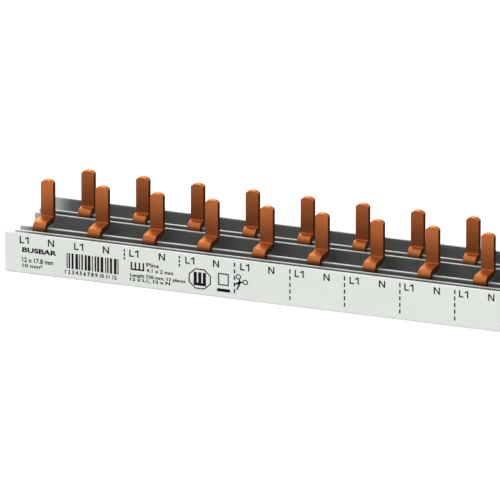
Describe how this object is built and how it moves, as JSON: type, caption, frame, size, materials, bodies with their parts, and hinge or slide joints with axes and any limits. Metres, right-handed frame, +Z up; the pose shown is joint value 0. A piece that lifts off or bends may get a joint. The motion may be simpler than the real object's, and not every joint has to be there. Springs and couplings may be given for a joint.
{
  "type": "comb busbar",
  "caption": "Open light grey insulating trough with two rows of bent copper pins that link the terminals of devices in a row.",
  "frame": {"origin": "middle of the trough's underside", "axes": "+X along the trough, from the open left end to the right one as the label wall is read; -Y is where the label wall faces; +Z up, the way the pins point"},
  "size_m": [0.22, 0.0422, 0.0242],
  "materials": {
    "grey_pvc": "satin",
    "copper": "satin",
    "marking_ink": "matte"
  },
  "bodies": {
    "root": {"insulating_profile": "grey_pvc", "comb_front": "copper", "comb_back": "copper"}
  },
  "joints": []
}
